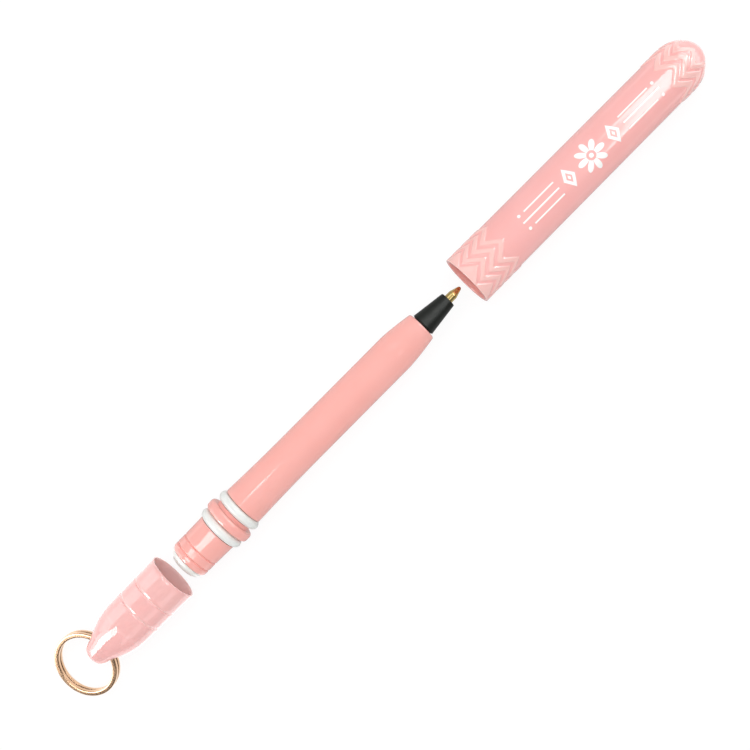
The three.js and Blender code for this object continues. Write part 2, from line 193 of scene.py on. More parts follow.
# Fine ring lines cut round the spigot and the key cap, in mm; the foot is a share of a line's width
LINE_WIDTH = 0.5
LINE_DEPTH = 0.28
CHAMFER_LENGTH = 0.4
CHAMFER_DEPTH = 0.12
CHAMFER_ROUND = 0.1
CHAMFER_LEAD = 0.2
CHAMFER_FOOT = 0.3
LINE_GAP = 0.02

# Smoothness: sides round an axis, steps along an outline, the spacing beside a rounding in mm, the
# most of an edge that a rounding takes, and the angles beyond which an edge stays sharp
SIDES = 160
CONE_SIDES = 144
SMALL_SIDES = 72
BALL_SIDES = 48
HOLE_SIDES = 96
ZIGZAG_SIDES = 40
ROUND_STEPS = 6
CURVE_STEPS = 12
EDGE_STEPS = 4
SHOULDER_STEPS = 48
NOSE_STEPS = 16
CORD_STEPS = 48
BALL_STEPS = 24
RIB_STEPS = 7
CAP_BODY_STEPS = 24
DOME_STEPS = 20
OGIVE_STEPS = 40
NOSE_TIP_STEPS = 20
FLARE_STEPS = 6
WIRE_STEPS = 420
SUPPORT = 0.08
ROUND_SHARE = 0.45
ON_AXIS = 1e-6
SMOOTH_DEGREES = 40
KEY_CAP_SMOOTH_DEGREES = 50
SOFT_SMOOTH_DEGREES = 60

barrel_low, barrel_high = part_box("barrel")
COLLAR_X = barrel_high.x - NOSE_END * MM
AXIS_Z = (barrel_low.z + barrel_high.z) / 2


def mix(a, b, share):
    return a + (b - a) * share


def shares(count):
    return [i / count for i in range(count + 1)]


def place(station, radius, angle):
    """A point round the pen's axis; angle 0 is the top, and a quarter turn is towards +Y"""
    return Vector((
        COLLAR_X + station * MM,
        radius * MM * math.sin(angle),
        AXIS_Z + radius * MM * math.cos(angle),
    ))


def rounded(corners, loop=False):
    """An outline through (station, radius, rounding) corners, each eased by its rounding"""
    outline = []
    for i, (station, radius, size) in enumerate(corners):
        corner = Vector((station, radius))
        inner = loop or 0 < i < len(corners) - 1
        if not size or not inner:
            outline.append((station, radius))
            continue
        back = Vector(corners[i - 1][:2]) - corner
        ahead = Vector(corners[(i + 1) % len(corners)][:2]) - corner
        reach_back = min(size, back.length * ROUND_SHARE)
        reach_ahead = min(size, ahead.length * ROUND_SHARE)
        start = corner + back.normalized() * reach_back
        end = corner + ahead.normalized() * reach_ahead
        if back.length - 2 * reach_back > SUPPORT:
            outline.append(tuple(start + back.normalized() * SUPPORT))
        for share in shares(ROUND_STEPS):
            outline.append(tuple(start.lerp(corner, share).lerp(corner.lerp(end, share), share)))
        if ahead.length - 2 * reach_ahead > SUPPORT:
            outline.append(tuple(end + ahead.normalized() * SUPPORT))
    return outline


def quarter(face_station, face_radius, wall_station, wall_radius, steps=CURVE_STEPS):
    """A quarter of an ellipse from the edge of an end face out to a wall"""
    return [
        (
            mix(face_station, wall_station, 1 - math.cos(share * TURN / 4)),
            mix(face_radius, wall_radius, math.sin(share * TURN / 4)),
        )
        for share in shares(steps)
    ]


def ring_line(station, radius):
    """A fine soft-edged groove cut round an outer wall"""
    groove = [
        (
            station + LINE_WIDTH * (share - 0.5),
            radius - LINE_DEPTH * (0.5 + 0.5 * math.cos((share - 0.5) * TURN)),
        )
        for share in shares(CURVE_STEPS)
    ]
    reach = LINE_WIDTH / 2 + SUPPORT
    return [(station - reach, radius), *groove, (station + reach, radius)]


def chamfer_line(station, radius):
    """A fine line at the foot of a chamfer, which slopes in from the mouth's side"""
    foot = station - LINE_WIDTH * CHAMFER_FOOT
    top = foot - CHAMFER_LENGTH
    slope = rounded([
        (top - CHAMFER_LEAD, radius, 0),
        (top, radius, CHAMFER_ROUND),
        (foot, radius - CHAMFER_DEPTH, 0),
    ])
    return slope + [point for point in ring_line(station, radius) if point[0] > foot + LINE_GAP]


def spaced(outline, longest=1.2):
    """The outline with points added on its long stretches"""
    result = [outline[0]]
    for point in outline[1:]:
        last = result[-1]
        count = max(1, math.ceil(math.dist(last, point) / longest))
        result += [
            (mix(last[0], point[0], i / count), mix(last[1], point[1], i / count))
            for i in range(1, count + 1)
        ]
    return result


def shown_mesh(name, mesh):
    """Puts a bmesh into the scene as an object"""
    data = bpy.data.meshes.new(name)
    mesh.to_mesh(data)
    mesh.free()
    shown = bpy.data.objects.new(name, data)
    bpy.context.scene.collection.objects.link(shown)
    return shown


def smoothed(data, degrees):
    data.shade_smooth()
    data.set_sharp_from_angle(angle=math.radians(degrees))


def piece_from(name, mesh, body, node, finish, smooth_degrees=SMOOTH_DEGREES):
    """Turns a bmesh into a shown piece, in place of a CAD node"""
    bmesh.ops.recalc_face_normals(mesh, faces=mesh.faces)
    piece = shown_mesh(name, mesh)
    smoothed(piece.data, smooth_degrees)
    piece.data.materials.append(finish)
    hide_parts(node)
    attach(piece, body)
    return piece


def bridge(mesh, ring, following):
    """Faces between two rings of points, either of which may be a single point"""
    count = max(len(ring), len(following))
    if count == 1:
        return
    for i in range(count):
        j = (i + 1) % count
        if len(ring) == 1:
            mesh.faces.new((ring[0], following[j], following[i]))
        elif len(following) == 1:
            mesh.faces.new((ring[i], ring[j], following[0]))
        else:
            mesh.faces.new((ring[i], ring[j], following[j], following[i]))


def turned(outline_at, sides=SIDES, loop=False):
    """A solid of revolution whose outline may change with the angle"""
    mesh = bmesh.new()
    outlines = [outline_at(side / sides * TURN) for side in range(sides)]
    rings = []
    for k, (station, radius) in enumerate(outlines[0]):
        if radius < ON_AXIS:
            rings.append([mesh.verts.new(place(station, 0, 0))])
            continue
        rings.append([
            mesh.verts.new(place(*outlines[side][k], side / sides * TURN)) for side in range(sides)
        ])
    for ring, following in zip(rings, rings[1:]):
        bridge(mesh, ring, following)
    if loop:
        bridge(mesh, rings[-1], rings[0])
    return mesh


def plain(outline, sides=SIDES, loop=False):
    """A solid of revolution with one outline all round"""
    return turned(lambda angle: outline, sides, loop)


class Shade:
    """A socket of a material's nodes, which Python's operators work on"""

    def __init__(self, recipe, socket):
        self.recipe = recipe
        self.socket = socket

    def maths(self, operation, *values):
        sockets = dict(enumerate(values))
        return self.recipe.node("Math", {"operation": operation}, sockets)

    def __add__(self, other):
        return self.maths("ADD", self, other)

    def __sub__(self, other):
        return self.maths("SUBTRACT", self, other)

    def __mul__(self, other):
        return self.maths("MULTIPLY", self, other)

    def __truediv__(self, other):
        return self.maths("DIVIDE", self, other)

    def __rsub__(self, other):
        return self.maths("SUBTRACT", other, self)

    __radd__ = __add__
    __rmul__ = __mul__

    def __abs__(self):
        return self.maths("ABSOLUTE", self)

    def __pow__(self, other):
        return self.maths("POWER", self, other)

    def cosine(self):
        return self.maths("COSINE", self)

    def heading(self, run):
        """The angle of a rise over a run"""
        return self.maths("ARCTAN2", self, run)

    def least(self, other):
        return self.maths("MINIMUM", self, other)

    def most(self, other):
        return self.maths("MAXIMUM", self, other)

    def clipped(self):
        return self.most(0).least(1)


OBJECT_COORDINATES = 3


class Recipe:
    """The nodes of one material or of the world"""

    def __init__(self, owner):
        owner.use_nodes = True
        self.tree = owner.node_tree
        self.tree.nodes.clear()

    def node(self, kind, settings=None, sockets=None, output=0):
        """A node of a type, with its settings first and then its sockets' values or links"""
        made = self.tree.nodes.new("ShaderNode" + kind)
        for name, value in (settings or {}).items():
            setattr(made, name, value)
        for name, value in (sockets or {}).items():
            if isinstance(value, Shade):
                self.tree.links.new(value.socket, made.inputs[name])
            else:
                made.inputs[name].default_value = value
        return Shade(self, made.outputs[output]) if made.outputs else made

    def noise(self, where, scale, detail):
        return self.node("TexNoise", {}, {"Vector": where, "Scale": scale, "Detail": detail})

    def tint(self, share, base, other):
        """A colour between two colours, by the numbers that a mix node gives its colour sockets"""
        return self.node("Mix", {"data_type": "RGBA"}, {0: share, 6: base, 7: other}, output=2)

    def position(self):
        """Where a point lies on its object, in metres"""
        return self.node("TexCoord", output=OBJECT_COORDINATES)

    def bump(self, height, distance):
        return self.node("Bump", {}, {"Height": height, "Distance": distance})

    def axes(self, where):
        """The three parts of a vector"""
        split = self.node("SeparateXYZ", {}, {0: where}).socket.node
        return [Shade(self, output) for output in split.outputs]

    def surface(self, sockets):
        shader = self.node("BsdfPrincipled", {}, sockets)
        self.node("OutputMaterial", {}, {"Surface": shader})


def srgb(red, green, blue):
    """A colour written as 8-bit sRGB, as the shader's linear colour"""
    def linear(value):
        share = value / 255
        return share / 12.92 if share <= 0.04045 else ((share + 0.055) / 1.055) ** 2.4
    return (linear(red), linear(green), linear(blue), 1.0)


def new_finish(name):
    material = bpy.data.materials.new(name)
    recipe = Recipe(material)
    return material, recipe, recipe.position()


# Moulded plastic: noises per metre, how strongly they show, the height of the skin in metres, and how
# the print differs from the plastic under it
FLOW_SCALE = 130
FLOW_CONTRAST = 1.6
SPECK_SCALE = 1700
SPECK_IN_SKIN = 0.15
SPECK_IN_GLOSS = 0.04
SKIN_SCALE = 620
SKIN_HEIGHT = 1.5e-6
PRINT_DULLNESS = 0.25
PRINT_HEIGHT = 4

# Where the key cap's painted light and the cap's painted shade inside them end, in mm, and how far a
# painted highlight pales the cap's ribs
INSIDE_REACH = 0.08
INSIDE_EDGE = 0.05
KEY_CAP_PAINTED_LIGHT_END = 0.2
CAP_PAINTED_SHADE_END = 6
RIB_PAINTED_HIGHLIGHT = 0.7


def moulded(name, pink, gloss, ornament_on=None):
    """Moulded plastic with a fine skin and a little light inside, from pink(recipe, where, flow)"""
    material, recipe, where = new_finish(name)
    flow = (recipe.noise(where, FLOW_SCALE, 3) - 0.5) * FLOW_CONTRAST + 0.5
    speck = recipe.noise(where, SPECK_SCALE, 2) - 0.5
    skin = recipe.noise(where, SKIN_SCALE, 2) + speck * SPECK_IN_SKIN
    print_mask = ornament_on(recipe, where) if ornament_on else None
    colour = pink(recipe, where, flow)
    roughness = gloss + speck * SPECK_IN_GLOSS
    if print_mask:
        colour = recipe.tint(print_mask, colour, PRINT_WHITE)
        roughness = roughness + print_mask * PRINT_DULLNESS
        skin = skin + print_mask * PRINT_HEIGHT
    recipe.surface({
        "Base Color": colour,
        "Roughness": roughness,
        "Normal": recipe.bump(skin, SKIN_HEIGHT),
        "Subsurface Weight": 0.12,
        "Subsurface Radius": (0.0022, 0.0009, 0.0007),
        "Subsurface Scale": 1.0,
        "IOR": 1.52,
    })
    return material


def distance_of(one_way, other_way):
    return (one_way * one_way + other_way * other_way) ** 0.5


def from_axis(recipe, where):
    """How far a point lies along the pen ahead of the collar and out from its axis, in mm"""
    x, y, z = recipe.axes(where)
    return (x - COLLAR_X) / MM, distance_of(y, z - AXIS_Z) / MM


def in_bore(radius, bore):
    """1 on the wall of a bore and 0 outside it"""
    return ((bore + INSIDE_REACH - radius) / INSIDE_EDGE).clipped()


def barrel_plastic():
    def pink(recipe, where, flow):
        return recipe.tint(flow, srgb(252, 183, 175), srgb(249, 176, 167))

    return moulded("barrel_plastic", pink, 0.05)


def key_cap_plastic():
    """The key cap's pink, painted paler inside as painted light"""
    def pink(recipe, where, flow):
        station, radius = from_axis(recipe, where)
        depth = KEY_CAP_MOUTH - station
        inside = in_bore(radius, KEY_CAP_BORE) * (KEY_CAVITY + KEY_CAP_PAINTED_LIGHT_END - depth).clipped()
        outside = recipe.tint(flow, srgb(250, 191, 187), srgb(247, 185, 182))
        # Painted light: the cavity's wall is painted paler, standing in for light bounced into it
        return recipe.tint(inside, outside, srgb(253, 209, 206))

    return moulded("key_cap_plastic", pink, 0.08)


# The ornament printed along the top of the cap, in mm
PRINT_MIDDLE = 103.4
PRINT_RADIUS = 5.7
PRINT_EDGE = 0.08
PETALS = 8
PETAL_SHARPNESS = 0.5
ROSETTE_RADIUS = 3.5
ROSETTE_EYE = 1.05
ROSETTE_DOT = 0.5
LOZENGE_AT = 6.3
LOZENGE_HALF = (1.5, 2.5)
LOZENGE_WINDOW = 0.5
LOZENGE_CORE = 0.22
STRIPE_SPAN = (9.2, 17.6)
LONG_STRIPE_END = 19.4
STRIPE_SPACING = 1.7
STRIPE_HALF_WIDTH = 0.17
END_DOT_AT = 19.0
END_DOT_RADIUS = 0.36
PRINT_WHITE = srgb(252, 249, 247)


def printed(distance):
    """1 inside an outline and 0 outside it, from the distance to it in mm"""
    return (0.5 - distance / PRINT_EDGE).clipped()


def stripe(along, across, start, end):
    """A straight stripe between two distances from the ornament's middle"""
    half = (end - start) / 2
    return printed((abs(along - (start + half)) - half).most(abs(across) - STRIPE_HALF_WIDTH))


def ornament(recipe, where):
    """A rosette between lozenges, stripes and dots, as 1 on the print and 0 off it"""
    x, y, z = recipe.axes(where)
    along = (x - (COLLAR_X + PRINT_MIDDLE * MM)) / MM
    across = y.heading(z - AXIS_Z) * PRINT_RADIUS
    radius = distance_of(along, across)
    petal = abs((across.heading(along) * (PETALS / 2)).cosine()) ** PETAL_SHARPNESS
    rosette = printed(radius - petal * ROSETTE_RADIUS) * (1 - printed(radius - ROSETTE_EYE))
    dot = printed(radius - ROSETTE_DOT)

    far = abs(along)
    aside = abs(across)
    reach = abs(far - LOZENGE_AT) / LOZENGE_HALF[0] + aside / LOZENGE_HALF[1]
    lozenge = printed(reach - 1) * (1 - printed(reach - LOZENGE_WINDOW)) + printed(reach - LOZENGE_CORE)
    side_stripes = stripe(far, aside - STRIPE_SPACING, *STRIPE_SPAN)
    long_stripe = stripe(far, across, STRIPE_SPAN[0], LONG_STRIPE_END)
    end_dot = printed(distance_of(far - END_DOT_AT, aside - STRIPE_SPACING) - END_DOT_RADIUS)
    return rosette.most(dot).most(lozenge).most(side_stripes).most(long_stripe).most(end_dot)


def cap_plastic():
    """The cap's pink, painted paler on its ribs as a painted highlight and deeper inside as painted
    shade, with a plain white ornament
    """
    def pink(recipe, where, flow):
        station, radius = from_axis(recipe, where)
        depth = station - CAP_MOUTH
        body = CAP_MOUTH_RADIUS + (depth / CAP_STRAIGHT).least(1) * (CAP_FAR_RADIUS - CAP_MOUTH_RADIUS)
        dome = ((depth - CAP_STRAIGHT) / CAP_DOME).most(0)
        raised = ((dome * dome + (radius / body) ** 2) ** 0.5 - 1) * body / RIB_HEIGHT
        inside = in_bore(radius, CAP_BORE) * (CAP_STRAIGHT - CAP_PAINTED_SHADE_END - depth).clipped()
        outside = recipe.tint(flow, srgb(255, 187, 184), srgb(253, 181, 177))
        # Painted highlight: the raised ribs are painted paler, as if light caught them
        ribs_with_painted_highlight = recipe.tint(raised.clipped() * RIB_PAINTED_HIGHLIGHT, outside, srgb(254, 207, 200))
        # Painted shade: the wall of the bore is painted a deeper pink, as if shade fell inside
        return recipe.tint(inside, ribs_with_painted_highlight, srgb(255, 178, 170))

    return moulded("cap_plastic", pink, 0.1, ornament)


def seal_rubber():
    material, recipe, where = new_finish("seal_rubber")
    grain = recipe.noise(where, 900, 3)
    recipe.surface({
        "Base Color": recipe.tint(grain, srgb(226, 231, 228), srgb(239, 240, 236)),
        "Roughness": 0.42 + (grain - 0.5) * 0.2,
        "Normal": recipe.bump(grain, 3e-6),
        "Subsurface Weight": 0.25,
        "Subsurface Radius": (0.0015, 0.0015, 0.0014),
        "Subsurface Scale": 1.0,
        "IOR": 1.41,
    })
    return material


def plug_plastic():
    material, recipe, where = new_finish("plug_plastic")
    cloud = recipe.noise(where, 400, 3)
    recipe.surface({
        "Base Color": recipe.tint(cloud, srgb(240, 240, 234), srgb(247, 247, 241)),
        "Roughness": 0.33 + (cloud - 0.5) * 0.15,
        "Normal": recipe.bump(recipe.noise(where, 1400, 2), 2e-6),
        "Subsurface Weight": 0.3,
        "Subsurface Radius": (0.002, 0.0018, 0.0016),
        "Subsurface Scale": 1.0,
    })
    return material


def cone_plastic():
    material, recipe, where = new_finish("cone_plastic")
    grain = recipe.noise(where, 2600, 3)
    cloud = recipe.noise(where, 350, 2)
    recipe.surface({
        "Base Color": recipe.tint(cloud, srgb(15, 19, 15), srgb(23, 27, 22)),
        "Roughness": 0.4 + (grain - 0.5) * 0.25,
        "Normal": recipe.bump(grain, 2.5e-6),
        "Specular IOR Level": 0.35,
        "IOR": 1.46,
    })
    return material


def metal(name, colour, deeper, gloss, grain_height, metallic=1.0):
    """Drawn or turned metal, with a fine grain and a tarnish that comes and goes"""
    material, recipe, where = new_finish(name)
    tone = recipe.noise(where, 500, 3)
    recipe.surface({
        "Base Color": recipe.tint(tone, colour, deeper),
        "Roughness": gloss + (tone - 0.5) * 0.1,
        "Metallic": metallic,
        "Normal": recipe.bump(recipe.noise(where, 3000, 2), grain_height),
    })
    return material


def brass():
    return metal("brass", srgb(224, 200, 138), srgb(206, 176, 108), 0.16, 6e-7)


def gold_plate():
    return metal("gold_plate", srgb(180, 150, 122), srgb(171, 137, 108), 0.2, 1e-8, metallic=0.88)


def ball_metal():
    return metal("ball_metal", srgb(206, 200, 188), srgb(180, 172, 160), 0.1, 2e-7)


def tube_plastic():
    material, recipe, where = new_finish("tube_plastic")
    cloud = recipe.noise(where, 200, 2)
    recipe.surface({
        "Base Color": recipe.tint(cloud, srgb(228, 226, 220), srgb(238, 236, 231)),
        "Roughness": 0.35 + (cloud - 0.5) * 0.1,
        "Subsurface Weight": 0.3,
        "Subsurface Radius": (0.002, 0.002, 0.002),
    })
    return material


def ink_paste():
    material, recipe, where = new_finish("ink_paste")
    cloud = recipe.noise(where, 300, 2)
    recipe.surface({
        "Base Color": recipe.tint(cloud, srgb(12, 13, 18), srgb(22, 24, 32)),
        "Roughness": 0.2 + (cloud - 0.5) * 0.1,
    })
    return material


def make_barrel():
    front_groove = NECK_LENGTH + GROOVE_WIDTH
    rear_groove = -COLLAR_WIDTH - GROOVE_WIDTH
    shoulder = [
        (mix(front_groove, GRIP_START, share), mix(GRIP_RADIUS, SHOULDER_RADIUS, (1 - share) ** 2))
        for share in shares(SHOULDER_STEPS)
    ]
    nose = [
        (
            mix(NOSE_END - NOSE_LENGTH, NOSE_END - NOSE_ROUND, share),
            mix(GRIP_RADIUS, NOSE_END_RADIUS, share ** NOSE_EASE),
        )
        for share in shares(NOSE_STEPS)
    ]
    nose_edge = quarter(NOSE_END, NOSE_END_RADIUS - NOSE_ROUND, NOSE_END - NOSE_ROUND, NOSE_END_RADIUS)
    spigot_end = quarter(SPIGOT_END, SPIGOT_END_RADIUS, SPIGOT_END + SPIGOT_ROUND, SPIGOT_RADIUS)
    lines = [point for mark in SPIGOT_LINES for point in ring_line(mark, SPIGOT_RADIUS)]
    ring_seats = rounded([
        (*lines[-1], 0),
        (rear_groove, SPIGOT_ROOT_RADIUS, GROOVE_LIP_ROUND),
        (rear_groove, REAR_GROOVE_RADIUS, GROOVE_FLOOR_ROUND),
        (-COLLAR_WIDTH, REAR_GROOVE_RADIUS, GROOVE_FLOOR_ROUND),
        (-COLLAR_WIDTH, COLLAR_RADIUS, COLLAR_ROUND),
        (0, COLLAR_RADIUS, COLLAR_ROUND),
        (0, NECK_RADIUS, GROOVE_FLOOR_ROUND),
        (NECK_LENGTH, NECK_RADIUS, GROOVE_LIP_ROUND),
        (NECK_LENGTH, FRONT_GROOVE_RADIUS, GROOVE_FLOOR_ROUND),
        (front_groove, FRONT_GROOVE_RADIUS, GROOVE_FLOOR_ROUND),
        (front_groove, SHOULDER_RADIUS, SHOULDER_ROUND),
        (*shoulder[1], 0),
    ])
    outline = spaced([
        *spigot_end,
        *lines,
        *ring_seats[1:-1],
        *shoulder[1:],
        *nose[1:-1],
        *reversed(nose_edge),
        (NOSE_END, BORE_RADIUS),
        (SPIGOT_END, BORE_RADIUS),
    ])
    piece_from(
        "barrel_body", plain(outline, loop=True), "pen", "barrel", barrel_plastic()
    )


def make_seal_ring(name, node, station, outer_radius, finish):
    """A ring of round cord, with the fine flash line that its mould leaves round the outside"""
    middle = outer_radius - CORD_RADIUS
    outline = []
    for share in shares(CORD_STEPS)[:-1]:
        turn = share * TURN
        nearest = min(turn, TURN - turn)
        flash = FLASH_HEIGHT * max(0.0, 1 - nearest / FLASH_TURN)
        reach = CORD_RADIUS - FLASH_HEIGHT + flash
        outline.append((station + reach * math.sin(turn), middle + reach * math.cos(turn)))
    mesh = plain(outline, loop=True)
    piece_from(name, mesh, "pen", node, finish, smooth_degrees=SOFT_SMOOTH_DEGREES)


def make_plug():
    head = quarter(PLUG_FACE, PLUG_FLAT_RADIUS, SPIGOT_END - FIT_GAP, SPIGOT_END_RADIUS)
    outline = spaced([
        (PLUG_FACE, 0),
        *head,
        (SPIGOT_END - FIT_GAP, BORE_RADIUS - FIT_GAP),
        (PLUG_STEM_END, BORE_RADIUS - FIT_GAP),
        (PLUG_STEM_END, 0),
    ])
    piece_from(
        "plug", plain(outline, SMALL_SIDES), "pen", "end_plug", plug_plastic()
    )


def make_cone():
    neck_radius = BORE_RADIUS - FIT_GAP
    outline = spaced(rounded([
        (CONE_BASE - CONE_NECK, neck_radius, 0),
        (CONE_BASE, neck_radius, 0),
        (CONE_BASE, CONE_BASE_RADIUS, CONE_BASE_ROUND),
        (CONE_FRONT, CONE_FRONT_RADIUS, CONE_FRONT_ROUND),
        (CONE_FRONT, SHANK_RADIUS + FIT_GAP, CONE_BORE_ROUND),
        (TUBE_FRONT + FIT_GAP, SHANK_RADIUS + FIT_GAP, 0),
        (TUBE_FRONT + FIT_GAP, TUBE_RADIUS + FIT_GAP, 0),
        (CONE_BASE - CONE_NECK, TUBE_RADIUS + FIT_GAP, 0),
    ], loop=True), longest=0.6)
    mesh = plain(outline, CONE_SIDES, loop=True)
    piece_from("cone", mesh, "pen", "nose_cone", cone_plastic())


def make_tip():
    """The brass point: pressed stem, shank, taper and the lip spun over the ball"""
    socket = BALL_RADIUS + BALL_GAP
    seat = BALL_MIDDLE - socket
    channel_end = seat - BALL_CHANNEL_LENGTH
    lip_end = BALL_MIDDLE + LIP_REACH
    lip_radius = math.sqrt(BALL_RADIUS ** 2 - LIP_REACH ** 2) + BALL_GAP
    outline = spaced(rounded([
        (TIP_STEM_REAR, TIP_STEM_RADIUS, STEM_REAR_ROUND),
        (TUBE_FRONT, TIP_STEM_RADIUS, STEM_FRONT_ROUND),
        (TUBE_FRONT, SHANK_RADIUS, 0),
        (SHANK_END, SHANK_RADIUS, TAPER_ROUND),
        (BALL_MIDDLE, socket + LIP_WALL, LIP_BASE_ROUND),
        (lip_end, lip_radius + LIP_WALL, LIP_ROUND),
        (lip_end, lip_radius, LIP_INNER_ROUND),
        (BALL_MIDDLE, socket, 0),
        (BALL_MIDDLE - SOCKET_DEPTH, socket, 0),
        (seat, BALL_CHANNEL, 0),
        (channel_end, BALL_CHANNEL, 0),
        (channel_end - CHANNEL_FLARE, INK_CHANNEL, 0),
        (TIP_STEM_REAR, INK_CHANNEL, 0),
    ], loop=True), longest=0.4)
    piece_from(
        "brass_point", plain(outline, SMALL_SIDES, loop=True), "pen", "tip_body", brass()
    )


def make_ball():
    outline = [
        (BALL_MIDDLE - BALL_RADIUS * math.cos(share * TURN / 2), BALL_RADIUS * math.sin(share * TURN / 2))
        for share in shares(BALL_STEPS)
    ]
    outline[0] = (outline[0][0], 0)
    outline[-1] = (outline[-1][0], 0)
    mesh = plain(outline, BALL_SIDES)
    piece_from("point_ball", mesh, "point_ball", "writing_ball", ball_metal())


# The cap's straight length, and the length round its dome: a quarter of an ellipse's outline
CAP_STRAIGHT = CAP_LENGTH - CAP_DOME
DOME_MEAN = 3 * (CAP_DOME + CAP_FAR_RADIUS) - math.sqrt(
    (3 * CAP_DOME + CAP_FAR_RADIUS) * (CAP_DOME + 3 * CAP_FAR_RADIUS)
)
DOME_ARC = math.pi / 4 * DOME_MEAN


def cap_outline(distance, height):
    """A point of the cap's outside, a distance along its wall from the mouth, raised by a height"""
    if distance <= CAP_STRAIGHT:
        radius = mix(CAP_MOUTH_RADIUS, CAP_FAR_RADIUS, distance / CAP_STRAIGHT)
        return distance, radius + height
    turn = min(1.0, (distance - CAP_STRAIGHT) / DOME_ARC) * TURN / 4
    along = CAP_FAR_RADIUS * math.sin(turn)
    out = CAP_DOME * math.cos(turn)
    length = math.hypot(along, out)
    return (
        CAP_STRAIGHT + CAP_DOME * math.sin(turn) + height * along / length,
        CAP_FAR_RADIUS * math.cos(turn) + height * out / length,
    )


def zigzag(angle):
    """How far along its height the zigzag stands: 1 at an apex towards the closed end, 0 at a root"""
    swing = ZIGZAG_SHARPNESS * math.cos((angle - ZIGZAG_TURN) * ZIGZAGS)
    return 0.5 + 0.5 * math.asin(swing) / math.asin(ZIGZAG_SHARPNESS)


def soft_step(share):
    return share * share * (3 - 2 * share)


def cap_wall(share):
    """The outside from the mouth to the closed end, where the zigzag stands at a share of its height"""
    def shifted(distance, height):
        radius = cap_outline(distance, 0)[1]
        rise = share * ZIGZAG_HEIGHT * radius / CAP_MOUTH_RADIUS
        return cap_outline(distance + rise, height)

    def slope(start, bevel, first, last):
        return [
            shifted(start + bevel * part, RIB_HEIGHT * mix(first, last, soft_step(part)))
            for part in shares(RIB_STEPS)
        ]

    def rib(start, bevel):
        return [
            shifted(start - SUPPORT, 0),
            *slope(start, bevel, 0, 1),
            *slope(start + RIB_WIDTH - bevel, bevel, 1, 0),
            shifted(start + RIB_WIDTH + SUPPORT, 0),
        ]

    def ribs(first, bevel):
        return [point for i in range(RIB_COUNT) for point in rib(first + i * RIB_PITCH, bevel)]

    end_ribs = CAP_STRAIGHT - END_RIBS_LEAD - ZIGZAG_HEIGHT
    last_rib = end_ribs + (RIB_COUNT - 1) * RIB_PITCH + RIB_WIDTH + ZIGZAG_HEIGHT
    near_end = FIRST_RIB + RIB_PITCH * RIB_COUNT
    body = [shifted(mix(near_end, end_ribs, part), 0) for part in shares(CAP_BODY_STEPS)[1:-1]]
    tip = [
        cap_outline(mix(last_rib, CAP_STRAIGHT + DOME_ARC, part), 0) for part in shares(DOME_STEPS)[1:]
    ]
    tip[-1] = (tip[-1][0], 0)
    mouth = CAP_MOUTH_RADIUS + RIB_HEIGHT
    return [
        *quarter(0, mouth - CAP_EDGE_ROUND, CAP_EDGE_ROUND, mouth, EDGE_STEPS),
        *slope(MOUTH_BAND, MOUTH_RIB_BEVEL, 1, 0),
        *ribs(FIRST_RIB, MOUTH_RIB_BEVEL),
        *body,
        *ribs(end_ribs, END_RIB_BEVEL),
        *tip,
    ]


def cap_inside():
    depth = CAP_LENGTH - CAP_END_WALL
    far_radius = CAP_FAR_RADIUS - CAP_FAR_WALL
    dome = quarter(depth, 0, depth - CAP_DOME + CAP_END_WALL, far_radius)
    return spaced([
        *dome,
        (CAP_SEAT, CAP_BORE),
        (CAP_BORE_CHAMFER, CAP_BORE),
        (0, CAP_BORE + CAP_BORE_CHAMFER),
    ])


def make_cap():
    inside = cap_inside()

    def outline_at(angle):
        outline = [*inside, *cap_wall(zigzag(angle))]
        return [(CAP_MOUTH + station, radius) for station, radius in outline]

    mesh = turned(outline_at, ZIGZAGS * ZIGZAG_SIDES)
    piece_from(
        "cap_shell", mesh, "cap", "cap", cap_plastic(),
        smooth_degrees=SOFT_SMOOTH_DEGREES,
    )


def bezier(points, share):
    """A point of a Bezier curve"""
    points = [Vector(point) for point in points]
    while len(points) > 1:
        points = [a.lerp(b, share) for a, b in zip(points, points[1:])]
    return tuple(points[0])


# The key cap's nose, as two Bezier curves of distances back from its mouth and radii
NOSE_TIP_START = (KEY_CAP_LENGTH - NOSE_TIP_LENGTH, NOSE_TIP_RADIUS)
OGIVE_BELLY = (
    KEY_CAP_LENGTH - OGIVE_LENGTH * (1 - BELLY_SHARE),
    mix(KEY_CAP_WAIST_RADIUS, NOSE_TIP_RADIUS, BELLY_FALL),
)
OGIVE = (
    (KEY_CAP_LENGTH - OGIVE_LENGTH, KEY_CAP_WAIST_RADIUS),
    (KEY_CAP_LENGTH - OGIVE_LENGTH * (1 - WAIST_HOLD), KEY_CAP_WAIST_RADIUS),
    OGIVE_BELLY,
    NOSE_TIP_START,
)
NOSE_TIP = (
    NOSE_TIP_START,
    tuple(mix(Vector(OGIVE_BELLY), Vector(NOSE_TIP_START), 1 + NOSE_TIP_LEAD)),
    (KEY_CAP_LENGTH, NOSE_TIP_BLUNTNESS),
    (KEY_CAP_LENGTH, 0),
)


def key_cap_profile():
    ogive = [bezier(OGIVE, share) for share in shares(OGIVE_STEPS)]
    nose = [bezier(NOSE_TIP, share) for share in shares(NOSE_TIP_STEPS)]
    return [*ogive, *nose[1:]]


def radius_at(distance):
    """The key cap's outer radius a distance back from its mouth, past its waist"""
    profile = key_cap_profile()
    for (near, near_radius), (far, far_radius) in zip(profile, profile[1:]):
        if near <= distance <= far:
            return mix(near_radius, far_radius, (distance - near) / (far - near))
    return KEY_CAP_WAIST_RADIUS


# How the split ring lies in its hole: its wire enters the wall on one side and leaves on the other,
# and the hole is as wide as the part of its arc inside
RING_INNER = RING_RADIUS - WIRE_WIDTH
RING_THICKNESS = 2 * WIRE_THICKNESS + COIL_GAP
RING_ENTRY = math.sqrt(RING_INNER ** 2 - radius_at(HOLE_FROM_MOUTH) ** 2)
RING_REACH = (RING_RADIUS + RING_ENTRY) / 2
HOLE_RADIUS = math.hypot((RING_RADIUS - RING_ENTRY) / 2, RING_THICKNESS / 2) + RING_CLEARANCE


